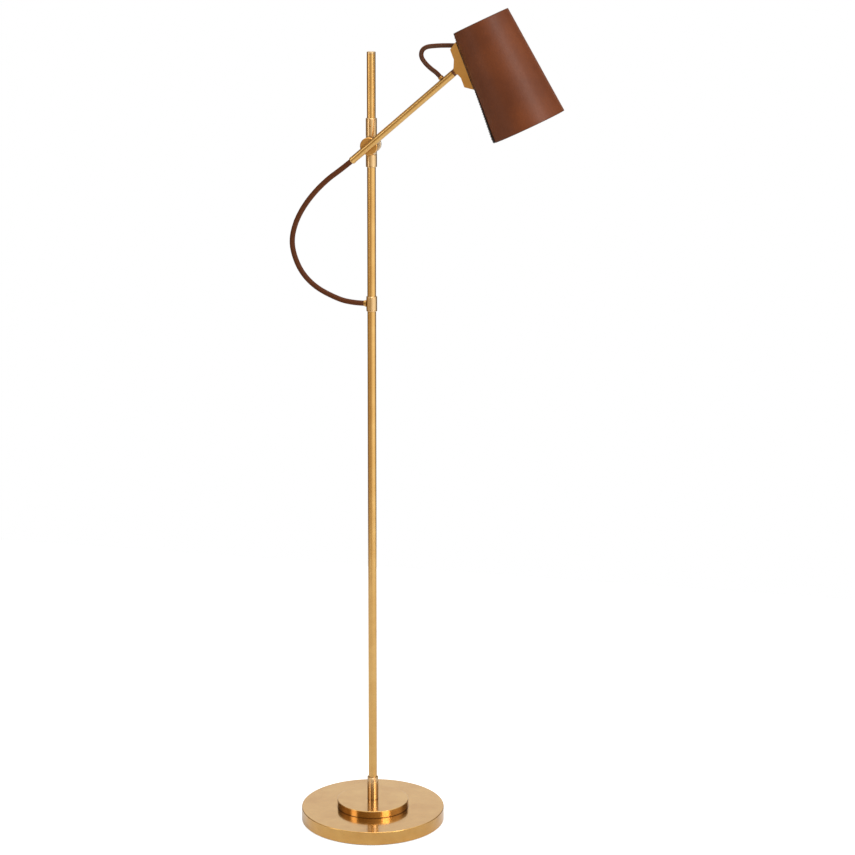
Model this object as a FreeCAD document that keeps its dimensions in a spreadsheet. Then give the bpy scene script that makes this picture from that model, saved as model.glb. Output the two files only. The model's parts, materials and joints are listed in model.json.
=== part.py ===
import FreeCAD, Part
import math
import os
import Sketcher

# A floor-standing pharmacy lamp: a round brass base, a slim pole, a pair of collars that carry a
# swivelling hub, a straight arm tilting on the hub's disc, and a leather-covered shade that turns
# and tilts at the arm's upper end. Millimetres, +Z up, origin on the floor under the pole's centre.
# The arm and the shade lie in a plane parallel to XZ, in front (-Y) of the pole.

Vector = FreeCAD.Vector
Rotation = FreeCAD.Rotation

# Driving dimensions. Heights are above the floor unless the name says otherwise.
SIZES = {
    # base
    "base_diameter": 254.0,
    "base_top": 25.4,
    "base_rim_round": 1.4,
    "felt_thickness": 1.6,
    "shell_wall": 3.0,
    "shell_top_wall": 4.0,
    "weight_clearance": 0.4,
    "weight_web": 3.0,
    "weight_recess_diameter": 40.0,
    "step_diameter": 127.0,
    "step_height": 13.0,
    "step_rim_round": 1.2,
    "socket_ring_diameter": 19.5,
    "socket_ring_height": 42.0,
    "nipple_diameter": 10.0,
    "nipple_bore": 6.2,
    "nipple_length": 60.0,
    "inlet_height": 7.0,
    "inlet_bore": 5.4,
    "inlet_hole_diameter": 9.0,
    # pole
    "pole_diameter": 15.0,
    "pole_wall": 1.0,
    "pole_top": 1367.0,
    "cap_height": 4.0,
    "fit_gap": 0.06,
    # lower cord collar
    "cord_collar_diameter": 18.6,
    "cord_collar_bottom": 926.0,
    "cord_collar_height": 26.0,
    "cord_exit_height": 939.0,
    "collar_screw_drop": 6.0,
    "lead_hole_diameter": 7.0,
    # hub and its collars
    "hub_height": 1210.4,
    "collar_diameter": 19.0,
    "lower_collar_height": 22.1,
    "upper_collar_height": 30.9,
    "neck_half_height": 14.4,
    "drum_front": 13.0,
    "drum_rear": 16.0,
    "drum_front_diameter": 26.0,
    "drum_middle_diameter": 22.6,
    "drum_rear_diameter": 27.5,
    "drum_front_flange": 4.0,
    "drum_rear_flange": 6.5,
    "spindle_diameter": 14.0,
    "spindle_bore_end": 8.6,
    "groove_start": 9.5,
    "groove_end": 12.5,
    "groove_depth": 0.9,
    "spindle_screw_start": 6.5,
    "disc_diameter": 30.0,
    "disc_front": 20.0,
    "washer_thickness": 0.8,
    # arm
    "arm_angle": 41.0,
    "arm_offset": 22.0,
    "arm_diameter": 12.0,
    "arm_wall": 1.0,
    "arm_tail": 38.5,
    "arm_reach": 207.5,
    "arm_tube_end": 192.2,
    "ring_diameter": 12.8,
    "ring_thickness": 1.3,
    "ring_start": 196.5,
    "gland_station": 171.6,
    "stem_diameter": 6.0,
    # head
    "head_angle": 26.0,
    "block_thickness": 16.0,
    "block_half_base": 41.5,
    "block_half_face": 33.4,
    "block_base": 10.0,
    "block_face": 3.2,
    "hump_radius": 9.4,
    "hump_slope": 24.0,
    "slot_width": 6.4,
    "tongue_thickness": 6.0,
    "tongue_half_width": 4.5,
    "tilt_pin_diameter": 5.0,
    "spacer_thickness": 1.2,
    "shade_top_diameter": 98.4,
    "shade_taper": 4.24,
    "shade_length": 190.5,
    "shade_top_above_pin": 54.6,
    "leather_thickness": 1.6,
    "liner_thickness": 1.0,
    "lid_depth": 7.0,
    "lid_thickness": 1.2,
    "vent_diameter": 7.0,
    "vent_ring_radius": 34.0,
    "bulb_diameter": 60.0,
    "bulb_centre_depth": 128.0,
    "glass_thickness": 1.0,
    # leads
    "loop_cord_diameter": 9.0,
    "tip_cord_diameter": 7.6,
    "cord_hole_height": 1382.4,
    "cord_hole_start": 130.0,
    "lead_bush_start": 151.1,
    "lead_bush_length": 8.4,
    "shade_hole_start": 152.5,
    "pole_lead_diameter": 4.4,
    "head_lead_diameter": 5.0,
}

# Routes of the two cords that hang free, in the lamp's frame. The big loop runs from the collar on
# the pole to the arm's tail, the small one from the arm's upper side into the shade's block.
LOOP_ROUTE = [
    (-13.5, 0.0, 939.0), (-41.0, 0.0, 939.0), (-72.5, -1.0, 950.0), (-101.0, -2.5, 965.5),
    (-122.5, -4.5, 988.5), (-134.5, -7.0, 1016.5), (-138.5, -9.5, 1044.0), (-131.0, -12.5, 1074.0),
    (-116.0, -15.5, 1102.5), (-95.0, -18.5, 1129.5), (-70.5, -21.0, 1153.4), (-47.5, -22.0, 1170.2),
    (-27.2, -22.0, 1186.8),
]
TIP_ROUTE = [
    (122.9, -22.0, 1330.5), (117.4, -22.0, 1336.8), (107.5, -22.3, 1343.2), (97.0, -23.0, 1353.0),
    (90.8, -23.8, 1363.0), (92.0, -24.4, 1373.0), (99.5, -24.4, 1379.2), (111.0, -23.6, 1381.0),
    (131.0, -22.0, 1382.4), (150.7, -22.0, 1382.4),
]

SADDLE_SCREW_STATIONS = (-10.5, 10.5)
BLOCK_SCREW_STATIONS = (-22, 20)

doc = FreeCAD.newDocument("pharmacy_lamp")
sheet = doc.addObject("Spreadsheet::Sheet", "sizes")
for row, (alias, size) in enumerate(SIZES.items(), start=1):
    sheet.set("A%d" % row, alias)
    sheet.set("B%d" % row, "%g" % size)
    sheet.setAlias("B%d" % row, alias)
doc.recompute()

sub_parts = []


# ---------------------------------------------------------------- helpers

def bound(text):
    """An expression in the sheet's aliases, written out with the sheet's name before each alias."""
    words, word = [], ""
    for character in text + " ":
        if character.isalnum() or character == "_":
            word += character
            continue
        words.append("sizes." + word if word in SIZES else word)
        words.append(character)
        word = ""
    return "".join(words).strip()


def value(text):
    """What an expression in the sheet's aliases comes to, as a plain number."""
    return float(sheet.evalExpression(bound(str(text))))


def bind(thing, path, text):
    """Ties one property of a document object to the sheet."""
    thing.setExpression(path, bound(str(text)))


def kept(thing, label, placement=None):
    """Names a finished sub-part, puts it in its place and lists it for writing."""
    thing.Label = label
    if placement is not None:
        thing.Placement = placement
    sub_parts.append(thing)
    return thing


def place(x="0", y="0", z="0", rotation=None):
    """A placement at a point whose coordinates are expressions in the sheet's aliases."""
    return FreeCAD.Placement(Vector(value(x), value(y), value(z)), rotation or Rotation())


def origin_plane(body, role):
    return [plane for plane in body.Origin.OriginFeatures if plane.Role == role][0]


def new_sketch(body, plane, name):
    sketch = body.newObject("Sketcher::SketchObject", name)
    sketch.AttachmentSupport = [(origin_plane(body, plane), "")]
    sketch.MapMode = "FlatFace"
    return sketch


def hold_point(sketch, edge, end, x, y):
    """Fixes one end of an edge at a point given by two expressions."""
    for kind, text in (("DistanceX", x), ("DistanceY", y)):
        index = sketch.addConstraint(Sketcher.Constraint(kind, -1, 1, edge, end, value(text)))
        sketch.setExpression("Constraints[%d]" % index, bound(str(text)))


def outline(body, plane, corners, name="outline"):
    """A sketch of one closed outline of straight edges, each corner held by two expressions."""
    sketch = new_sketch(body, plane, name)
    points = [Vector(value(x), value(y), 0) for x, y in corners]
    for index, point in enumerate(points):
        sketch.addGeometry(Part.LineSegment(point, points[(index + 1) % len(points)]), False)
    for index, (x, y) in enumerate(corners):
        sketch.addConstraint(Sketcher.Constraint("Coincident", index, 2, (index + 1) % len(points), 1))
        hold_point(sketch, index, 1, x, y)
    return sketch


def circle(body, plane, x, y, diameter, name="circle"):
    """A sketch of one circle held by its centre and its diameter."""
    sketch = new_sketch(body, plane, name)
    sketch.addGeometry(Part.Circle(Vector(value(x), value(y), 0), Vector(0, 0, 1), value(diameter) / 2))
    hold_point(sketch, 0, 3, x, y)
    index = sketch.addConstraint(Sketcher.Constraint("Diameter", 0, value(diameter)))
    sketch.setExpression("Constraints[%d]" % index, bound(str(diameter)))
    return sketch


def revolve(body, corners, name="turned"):
    """Revolves an outline of (radius, height) corners about the body's own Z axis."""
    sketch = outline(body, "XZ_Plane", corners, name + "_outline")
    feature = body.newObject("PartDesign::Revolution", name)
    feature.Profile = (sketch, [""])
    feature.ReferenceAxis = (sketch, ["V_Axis"])
    feature.Angle = 360
    body.Tip = feature
    return feature


def turned(label, corners, placement=None):
    """A sub-part that is one turned piece."""
    body = doc.addObject("PartDesign::Body", label + "_body")
    revolve(body, corners)
    return kept(body, label, placement)


def tube(label, outer, inner, bottom, top, placement=None, edge="0.3"):
    """A turned sleeve with a small chamfer on both outer edges."""
    corners = [
        (f"({inner})/2", bottom),
        (f"({outer})/2 - {edge}", bottom),
        (f"({outer})/2", f"{bottom} + {edge}"),
        (f"({outer})/2", f"{top} - {edge}"),
        (f"({outer})/2 - {edge}", top),
        (f"({inner})/2", top),
    ]
    return turned(label, corners, placement)


def rod(label, diameter, bottom, top, placement=None, edge="0.3"):
    """A turned solid bar with a small chamfer on both ends."""
    corners = [
        ("0", bottom),
        (f"({diameter})/2 - {edge}", bottom),
        (f"({diameter})/2", f"{bottom} + {edge}"),
        (f"({diameter})/2", f"{top} - {edge}"),
        (f"({diameter})/2 - {edge}", top),
        ("0", top),
    ]
    return turned(label, corners, placement)


def rounded_rim(radius, top, size):
    """Outline corners of a rounded top edge, from the side up to the top face."""
    return [
        (f"{radius} - {size} + {size}*cos({angle})", f"{top} - {size} + {size}*sin({angle})")
        for angle in range(0, 91, 15)
    ]


def cut_hole(body, plane, x, y, diameter, length, reverse, name):
    """A round pocket from one of the body's own planes, and the check that it removed something."""
    doc.recompute()
    before = body.Shape.Volume
    feature = body.newObject("PartDesign::Pocket", name)
    feature.Profile = (circle(body, plane, x, y, diameter, name + "_circle"), [""])
    feature.Type = "Length"
    bind(feature, "Length", length)
    feature.Reversed = reverse
    body.Tip = feature
    doc.recompute()
    assert body.Shape.Volume < before - 0.1, (body.Label, name)
    return feature


def cylinder(name, diameter, length, placement):
    """A plain cylinder along its own Z axis, used as a tool or as part of a joined piece."""
    shape = doc.addObject("Part::Cylinder", name)
    bind(shape, "Radius", f"({diameter})/2")
    bind(shape, "Height", length)
    shape.Placement = placement
    return shape


def block(name, length, width, height, placement):
    """A plain box with its corner at the placement's origin."""
    shape = doc.addObject("Part::Box", name)
    bind(shape, "Length", length)
    bind(shape, "Width", width)
    bind(shape, "Height", height)
    shape.Placement = placement
    return shape


def cut(label, base, tools):
    """Takes every tool out of the base."""
    joined = tools[0]
    if len(tools) > 1:
        joined = doc.addObject("Part::MultiFuse", label + "_tools")
        joined.Shapes = tools
    result = doc.addObject("Part::Cut", label + "_cut")
    result.Base = base
    result.Tool = joined
    return result


def fused(label, shapes):
    result = doc.addObject("Part::MultiFuse", label + "_fused")
    result.Shapes = shapes
    return result


def group(label, shapes):
    """Several identical pieces in one node, each a separate solid."""
    thing = doc.addObject("Part::Compound", label + "_group")
    thing.Links = shapes
    return kept(thing, label)


def route_wire(points, bend=None):
    """Straight runs joined by tangent arcs, of a given radius or as large as their two runs allow."""
    share = 0.45
    edges, radii = [], []
    here = points[0]
    for before, corner, after in zip(points, points[1:], points[2:]):
        back, ahead = before - corner, after - corner
        half_turn = (math.pi - back.getAngle(ahead)) / 2
        radius = bend or share * min(back.Length, ahead.Length) / math.tan(half_turn)
        reach = radius * math.tan(half_turn)
        radii.append(radius)
        back.normalize()
        ahead.normalize()
        start, end = corner + back * reach, corner + ahead * reach
        inward = back + ahead
        inward.normalize()
        centre = corner + inward * (radius / math.cos(half_turn))
        middle = centre - inward * radius
        edges.append(Part.LineSegment(here, start).toShape())
        edges.append(Part.Arc(start, middle, end).toShape())
        here = end
    edges.append(Part.LineSegment(here, points[-1]).toShape())
    return Part.Wire(edges), radii


def cord(label, route, diameter, bend=None):
    """A round cord along a route; its volume is compared with its section times its length."""
    points = [Vector(*point) for point in route]
    wire, radii = route_wire(points, bend)
    first_run = points[1] - points[0]
    section = Part.Wire(Part.makeCircle(value(diameter) / 2, points[0], first_run))
    solid = wire.makePipeShell([section], True, False)
    expected = math.pi * (value(diameter) / 2) ** 2 * wire.Length
    assert abs(solid.Volume / expected - 1) < 0.01, (label, solid.Volume, expected)
    print(label, "length %.1f" % wire.Length, "radii", ["%.0f" % radius for radius in radii])
    thing = doc.addObject("Part::Feature", label + "_cord")
    thing.Shape = solid
    return kept(thing, label)


# ---------------------------------------------------------------- frames of the moving groups

TO_FRONT = Rotation(Vector(1, 0, 0), 90)          # own Z axis to -Y
TO_REAR = Rotation(Vector(1, 0, 0), -90)          # own Z axis to +Y
TO_LEFT = Rotation(Vector(0, 1, 0), -90)          # own Z axis to -X
TO_RIGHT = Rotation(Vector(0, 1, 0), 90)          # own Z axis to +X

hub_frame = place(z="hub_height")
arm_rotation = Rotation(Vector(0, 1, 0), 90 - value("arm_angle"))
arm_frame = place("0", "-arm_offset", "hub_height", arm_rotation)
pin_point = arm_frame.multVec(Vector(0, 0, value("arm_reach")))
head_frame = FreeCAD.Placement(pin_point, Rotation(Vector(0, 1, 0), -value("head_angle")))
side_rotation = Rotation(Vector(0, 1, 0), value("shade_taper") - value("head_angle"))
side_frame = FreeCAD.Placement(pin_point, side_rotation)
# the shade's axis, in the head's frame: its side stands clear of the pin by the block and spacers
side_gap = "(block_base + spacer_thickness)/cos(shade_taper)"
axis_x = f"shade_top_diameter/2 + shade_top_above_pin*tan(shade_taper) + {side_gap}"
shade_frame = head_frame.multiply(place(axis_x, "0", "shade_top_above_pin"))


def inside(frame, x=0.0, y=0.0, z=0.0, rotation=None):
    """A placement given in one of the moving groups' own frames."""
    return frame.multiply(FreeCAD.Placement(Vector(x, y, z), rotation or Rotation()))


# ---------------------------------------------------------------- base

def felt_pad():
    rod("felt_pad", "base_diameter - 8", "0", "felt_thickness", edge="0.2")


def base_weight():
    """Cast disc with a recess for the nut under its middle and a channel for the lead to the back."""
    radius = "(base_diameter/2 - shell_wall - weight_clearance)"
    top = "base_top - shell_top_wall"
    body = doc.addObject("PartDesign::Body", "base_weight_body")
    revolve(body, [
        ("nipple_diameter/2 + 0.3", f"{top} - weight_web"),
        ("weight_recess_diameter/2", f"{top} - weight_web"),
        ("weight_recess_diameter/2", "felt_thickness"),
        (f"{radius} - 1", "felt_thickness"),
        (radius, "felt_thickness + 1"),
        (radius, f"{top} - 1"),
        (f"{radius} - 1", top),
        ("nipple_diameter/2 + 0.3", top),
    ])
    channel = block("lead_channel", "12", "base_diameter/2", "11.4",
                    place("-6", "0", "felt_thickness - 0.2"))
    kept(cut("base_weight", body, [channel]), "base_weight")


def base_shell():
    """Spun brass cover over the weight, open below, with the lead's hole in its rear wall."""
    radius = "base_diameter/2"
    body = doc.addObject("PartDesign::Body", "base_shell_body")
    revolve(body, [
        (f"{radius} - shell_wall", "felt_thickness"),
        (f"{radius} - 0.8", "felt_thickness"),
        (radius, "felt_thickness + 0.8"),
    ] + rounded_rim(radius, "base_top", "base_rim_round") + [
        ("nipple_diameter/2 + 0.1", "base_top"),
        ("nipple_diameter/2 + 0.1", "base_top - shell_top_wall"),
        (f"{radius} - shell_wall", "base_top - shell_top_wall"),
    ])
    hole_place = place("0", "base_diameter/2 - 8", "inlet_height", TO_REAR)
    hole = cylinder("inlet_hole", "inlet_hole_diameter", "12", hole_place)
    kept(cut("base_shell", body, [hole]), "base_shell")


def step_disc():
    radius = "step_diameter/2"
    turned("step_disc", [
        ("nipple_diameter/2 + 0.1", "base_top"),
        (f"{radius} - 0.6", "base_top"),
        (radius, "base_top + 0.6"),
    ] + rounded_rim(radius, "base_top + step_height", "step_rim_round") + [
        ("nipple_diameter/2 + 0.1", "base_top + step_height"),
    ])


def socket_ring():
    """The sleeve round the pole's foot, with a shallow turned line under its rim."""
    bottom = "base_top + step_height"
    top = f"{bottom} + socket_ring_height"
    radius = "socket_ring_diameter/2"
    turned("pole_socket", [
        ("pole_diameter/2 + fit_gap", bottom),
        (radius, bottom),
        (radius, f"{top} - 3.2"),
        (f"{radius} - 0.4", f"{top} - 2.8"),
        (f"{radius} - 0.4", f"{top} - 2.4"),
        (radius, f"{top} - 2"),
        (radius, f"{top} - 0.6"),
        (f"{radius} - 0.6", top),
        ("pole_diameter/2 + 0.7", top),
        ("pole_diameter/2 + fit_gap", f"{top} - 0.8"),
    ])


def hexagon(label, across_flats, hole, bottom, top, placement=None):
    """A hexagon nut with a plain bore."""
    body = doc.addObject("PartDesign::Body", label + "_body")
    across_corners = f"({across_flats})/cos(30)"
    corners = [(f"{across_corners}/2*cos({60 * k})", f"{across_corners}/2*sin({60 * k})") for k in range(6)]
    pad = body.newObject("PartDesign::Pad", "pad")
    pad.Profile = (outline(body, "XY_Plane", corners), [""])
    bind(pad, "Length", f"{top} - ({bottom})")
    body.Tip = pad
    cut_hole(body, "XY_Plane", "0", "0", hole, f"{top} - ({bottom}) + 1", True, "bore")
    lift = place(z=bottom)
    return kept(body, label, placement.multiply(lift) if placement else lift)


def base_fixings():
    web_bottom = "base_top - shell_top_wall - weight_web"
    tube("base_washer", "26", "nipple_diameter + 0.4", f"{web_bottom} - 1.4", web_bottom)
    hexagon("base_nut", "17", "nipple_diameter", f"{web_bottom} - 5.4", f"{web_bottom} - 1.4")
    tube("base_nipple", "nipple_diameter", "nipple_bore", f"{web_bottom} - 5.9",
         f"{web_bottom} - 5.9 + nipple_length", edge="0.5")
    step_top = "base_top + step_height"
    tube("pole_foot_plug", "pole_diameter - 2*pole_wall - 0.04", "nipple_diameter", step_top,
         f"{step_top} + 30")


def cord_inlet():
    """Rubber bush in the base's rear wall where the mains lead comes in."""
    turned("cord_inlet", [
        ("inlet_bore/2", "-8"),
        ("4.4", "-8"),
        ("4.4", "0"),
        ("6.2", "0.04"),
        ("6.2", "1.4"),
        ("5.2", "2.4"),
        ("inlet_bore/2 + 0.5", "2.4"),
        ("inlet_bore/2", "1.9"),
    ], place("0", "base_diameter/2", "inlet_height", TO_REAR))


# ---------------------------------------------------------------- pole

def pole():
    hole_place = place("0", "0", "cord_exit_height", TO_LEFT)
    lead_hole = cylinder("pole_lead_hole", "lead_hole_diameter", "12", hole_place)
    body = doc.addObject("PartDesign::Body", "pole_body")
    bottom = "base_top + step_height"
    revolve(body, [
        ("pole_diameter/2 - pole_wall", bottom),
        ("pole_diameter/2", bottom),
        ("pole_diameter/2", "pole_top - cap_height"),
        ("pole_diameter/2 - pole_wall", "pole_top - cap_height"),
    ])
    kept(cut("pole", body, [lead_hole]), "pole")
    turned("pole_cap", [
        ("0", "pole_top - cap_height - 8"),
        ("pole_diameter/2 - pole_wall - 0.02", "pole_top - cap_height - 8"),
        ("pole_diameter/2 - pole_wall - 0.02", "pole_top - cap_height"),
        ("pole_diameter/2 - 0.3", "pole_top - cap_height + 0.01"),
        ("pole_diameter/2", "pole_top - cap_height + 0.4"),
        ("pole_diameter/2", "pole_top - 1.2"),
        ("pole_diameter/2 - 0.4", "pole_top - 0.4"),
        ("pole_diameter/2 - 1.4", "pole_top"),
        ("0", "pole_top"),
    ])


def ring_profile(radius, inner, bottom, top):
    """Profile of a collar with a fine turned line near each rim."""
    return [
        (inner, bottom),
        (f"{radius} - 0.6", bottom),
        (radius, f"{bottom} + 0.6"),
        (radius, f"{bottom} + 1.8"),
        (f"{radius} - 0.3", f"{bottom} + 2.1"),
        (radius, f"{bottom} + 2.4"),
        (radius, f"{top} - 2.4"),
        (f"{radius} - 0.3", f"{top} - 2.1"),
        (radius, f"{top} - 1.8"),
        (radius, f"{top} - 0.6"),
        (f"{radius} - 0.6", top),
        (inner, top),
    ]


def grub(name, diameter, length, placement):
    """A socket set screw: a short bar with a hexagon recess in its outer end."""
    body = doc.addObject("PartDesign::Body", name)
    edge = "0.3"
    revolve(body, [
        ("0", "0"),
        (f"{diameter}/2 - {edge}", "0"),
        (f"{diameter}/2", edge),
        (f"{diameter}/2", f"{length} - {edge}"),
        (f"{diameter}/2 - {edge}", length),
        ("0", length),
    ])
    corners = [(f"{diameter}*0.26*cos({60 * k})", f"{diameter}*0.26*sin({60 * k})") for k in range(6)]
    doc.recompute()
    before = body.Shape.Volume
    recess = body.newObject("PartDesign::Pocket", "recess")
    sketch = outline(body, "XY_Plane", corners, "recess_outline")
    sketch.AttachmentOffset = place(z=length)
    recess.Profile = (sketch, [""])
    recess.Type = "Length"
    bind(recess, "Length", f"{length}*0.5")
    body.Tip = recess
    doc.recompute()
    assert body.Shape.Volume < before - 0.1, name
    body.Placement = placement
    return body


def cord_collar():
    """The fixed collar where the lead leaves the pole, flat on its left for the gland."""
    body = doc.addObject("PartDesign::Body", "cord_collar_body")
    radius = "cord_collar_diameter/2"
    bottom = "cord_collar_bottom"
    revolve(body, ring_profile(radius, "pole_diameter/2 + fit_gap", bottom, f"{bottom} + cord_collar_height"))
    hole_place = place("0", "0", "cord_exit_height", TO_LEFT)
    lead_hole = cylinder("collar_lead_hole", "lead_hole_diameter", "20", hole_place)
    flat = block("gland_flat", "10", "30", "13",
                 place("-cord_collar_diameter/2 + 0.4 - 10", "-15", "cord_exit_height - 6.5"))
    screw_height = "cord_collar_bottom + cord_collar_height - collar_screw_drop"
    screw_hole = cylinder("collar_screw_hole", "4", "12", place("0", "0", screw_height, TO_REAR))
    kept(cut("cord_collar", body, [lead_hole, flat, screw_hole]), "cord_collar")
    screw_place = place("0", "pole_diameter/2 + 0.02", screw_height, TO_REAR)
    kept(grub("cord_collar_screw_body", "3.98", "1.7", screw_place), "cord_collar_screw")
    flange_place = place("-cord_collar_diameter/2 + 0.4", "0", "cord_exit_height", TO_LEFT)
    tube("pole_gland_nut", "12", "6.4", "0", "2.2", flange_place, edge="0.5")
    turned("pole_gland", [
        ("2.6", "-3.4"),
        ("3.15", "-3.4"),
        ("3.15", "2.2"),
        ("4.7", "2.2"),
        ("5.1", "2.6"),
        ("5.1", "4.2"),
        ("4.7", "4.6"),
        ("2.6", "4.6"),
    ], flange_place)


# ---------------------------------------------------------------- collars and hub

def carrier():
    """Two collars locked on the pole above and below the hub."""
    inner = "pole_diameter/2 + fit_gap"
    radius = "collar_diameter/2"
    gap = "(neck_half_height + 0.3)"
    screws = []
    for name, bottom, top, rotation, side, screw_height in (
        ("lower_collar", f"hub_height - {gap} - lower_collar_height", f"hub_height - {gap}", TO_REAR, 1,
         f"hub_height - {gap} - lower_collar_height/2"),
        ("upper_collar", f"hub_height + {gap}", f"hub_height + {gap} + upper_collar_height", TO_FRONT, -1,
         f"hub_height + {gap} + upper_collar_height*0.6"),
    ):
        body = doc.addObject("PartDesign::Body", name + "_body")
        revolve(body, ring_profile(radius, inner, bottom, top))
        hole = cylinder(name + "_screw_hole", "4", "12", place("0", "0", screw_height, rotation))
        kept(cut(name, body, [hole]), name)
        seat = place("0", f"{side}*(pole_diameter/2 + 0.1)", screw_height, rotation)
        screws.append(grub(name + "_screw", "3.98", "1.9", seat))
    group("collar_screws", screws)


def hub():
    """The swivelling hub: a stepped drum lying across the pole on a short upright neck."""
    drum = doc.addObject("PartDesign::Body", "drum_body")
    front = "drum_front_diameter/2"
    rear = "drum_rear_diameter/2"
    revolve(drum, [
        ("0", "-drum_rear"),
        (f"{rear} - 1", "-drum_rear"),
        (rear, "-drum_rear + 1"),
        (rear, "-drum_rear + drum_rear_flange - 0.6"),
        (f"{rear} - 0.6", "-drum_rear + drum_rear_flange"),
        ("drum_middle_diameter/2", "-drum_rear + drum_rear_flange"),
        ("drum_middle_diameter/2", "drum_front - drum_front_flange"),
        (f"{front} - 0.4", "drum_front - drum_front_flange"),
        (front, "drum_front - drum_front_flange + 0.4"),
        (front, "drum_front"),
        ("spindle_diameter/2 + fit_gap", "drum_front"),
        ("spindle_diameter/2 + fit_gap", "spindle_bore_end"),
        ("0", "spindle_bore_end"),
    ])
    drum.Placement = inside(hub_frame, rotation=TO_FRONT)
    neck_place = place(z="hub_height - neck_half_height")
    neck = cylinder("neck", "collar_diameter", "2*neck_half_height", neck_place)
    spindle_space = cylinder("spindle_space", "spindle_diameter + 2*fit_gap", "20",
                             place("0", "-spindle_bore_end", "hub_height", TO_FRONT))
    bore_place = place(z="hub_height - 30")
    pole_bore = cylinder("hub_pole_bore", "pole_diameter + 2*fit_gap", "60", bore_place)
    rear_hole = cylinder("hub_rear_hole", "5", "20", place("0", "4", "hub_height", TO_REAR))
    groove_middle = "-(groove_start + groove_end)/2"
    key_hole = cylinder("spindle_screw_hole", "2.5", "12", place("5", groove_middle, "hub_height", TO_RIGHT))
    tools = [spindle_space, pole_bore, rear_hole, key_hole]
    body = cut("hub_body", fused("hub_body", [drum, neck]), tools)
    kept(body, "hub_body")
    pad_place = place("0", "pole_diameter/2 + 0.1", "hub_height", TO_REAR)
    rod("hub_brake_pad", "4.9", "0", "2", pad_place, "0.2")
    brake_place = place("0", "pole_diameter/2 + 2.1", "hub_height", TO_REAR)
    kept(grub("hub_brake_screw_body", "4.98", "5.6", brake_place), "hub_brake_screw")
    key_place = place("spindle_screw_start", groove_middle, "hub_height", TO_RIGHT)
    kept(grub("spindle_screw_body", "2.48", "5.6", key_place), "spindle_screw")
    tube("friction_washer", "drum_front_diameter", "spindle_diameter + 0.8", "drum_front",
         "drum_front + washer_thickness", inside(hub_frame, rotation=TO_FRONT), edge="0.1")


# ---------------------------------------------------------------- arm

def hub_disc():
    """The round face of the hub with the arm's saddle across it and a grooved spindle behind."""
    radius = "disc_diameter/2"
    back = "drum_front + washer_thickness + 0.1"
    body = doc.addObject("PartDesign::Body", "hub_disc_body")
    revolve(body, [
        ("0", "spindle_bore_end + 0.3"),
        ("spindle_diameter/2", "spindle_bore_end + 0.3"),
        ("spindle_diameter/2", "groove_start"),
        ("spindle_diameter/2 - groove_depth", "groove_start"),
        ("spindle_diameter/2 - groove_depth", "groove_end"),
        ("spindle_diameter/2", "groove_end"),
        ("spindle_diameter/2", back),
        (f"{radius} - 0.4", back),
        (radius, f"{back} + 0.4"),
        (radius, "disc_front - 1"),
        (f"{radius} - 1", "disc_front"),
        ("0", "disc_front"),
    ])
    body.Placement = inside(hub_frame, rotation=TO_FRONT)
    saddle = cylinder("saddle", "arm_diameter + 0.04", "60", inside(arm_frame, z=-30))
    kept(cut("hub_disc", body, [saddle] + saddle_holes("disc")), "hub_disc")
    screws = [
        cylinder("saddle_screw_%d" % k, "2.56", "2.6", inside(arm_frame, y=7.7, z=along, rotation=TO_FRONT))
        for k, along in enumerate(SADDLE_SCREW_STATIONS)
    ]
    group("saddle_screws", screws)


def saddle_holes(tag):
    """Tools for the two screw holes through the disc's saddle and the arm's wall."""
    return [
        cylinder("%s_hole_%d" % (tag, k), "2.6", "6", inside(arm_frame, y=9, z=along, rotation=TO_FRONT))
        for k, along in enumerate(SADDLE_SCREW_STATIONS)
    ]


def arm():
    radius = "arm_diameter/2"
    body = doc.addObject("PartDesign::Body", "arm_tube_body")
    revolve(body, [
        (f"{radius} - arm_wall", "-arm_tail + 5"),
        (radius, "-arm_tail + 5"),
        (radius, "arm_tube_end"),
        (f"{radius} - arm_wall", "arm_tube_end"),
    ])
    body.Placement = arm_frame
    gland_place = inside(arm_frame, z=value("gland_station"), rotation=TO_LEFT)
    gland_hole = cylinder("gland_hole", "5.4", "12", gland_place)
    kept(cut("arm_tube", body, [gland_hole] + saddle_holes("arm")), "arm_tube")
    turned("arm_tail_ring", [
        ("loop_cord_diameter/2 + 0.1", "-arm_tail"),
        (f"{radius} - 0.5", "-arm_tail"),
        (f"{radius} + 0.3", "-arm_tail + 1.2"),
        (f"{radius} + 0.3", "-arm_tail + 4.2"),
        (radius, "-arm_tail + 4.99"),
        (f"{radius} - arm_wall - 0.02", "-arm_tail + 5"),
        (f"{radius} - arm_wall - 0.02", "-arm_tail + 12"),
        ("loop_cord_diameter/2 + 0.1", "-arm_tail + 12"),
    ], arm_frame)
    turned("arm_gland", [
        ("1.6", f"{radius} - 2.6"),
        ("2.65", f"{radius} - 2.6"),
        ("2.65", f"{radius} + 0.2"),
        ("4.9", f"{radius} + 0.2"),
        ("4.9", f"{radius} + 1.6"),
        ("4.3", f"{radius} + 1.9"),
        ("4.7", f"{radius} + 2.3"),
        ("4.7", f"{radius} + 3.6"),
        ("4.3", f"{radius} + 4"),
        ("1.6", f"{radius} + 4"),
    ], gland_place)
    turned("swivel_bush", [
        ("stem_diameter/2 + 0.05", "arm_tube_end - 1.4"),
        (f"{radius} - arm_wall - 0.02", "arm_tube_end - 1.4"),
        (f"{radius} - arm_wall - 0.02", "arm_tube_end"),
        (f"{radius} - 0.35", "arm_tube_end + 0.01"),
        (f"{radius} - 0.35", "ring_start - 0.1"),
        ("stem_diameter/2 + 0.05", "ring_start - 0.1"),
    ], arm_frame)


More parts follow.
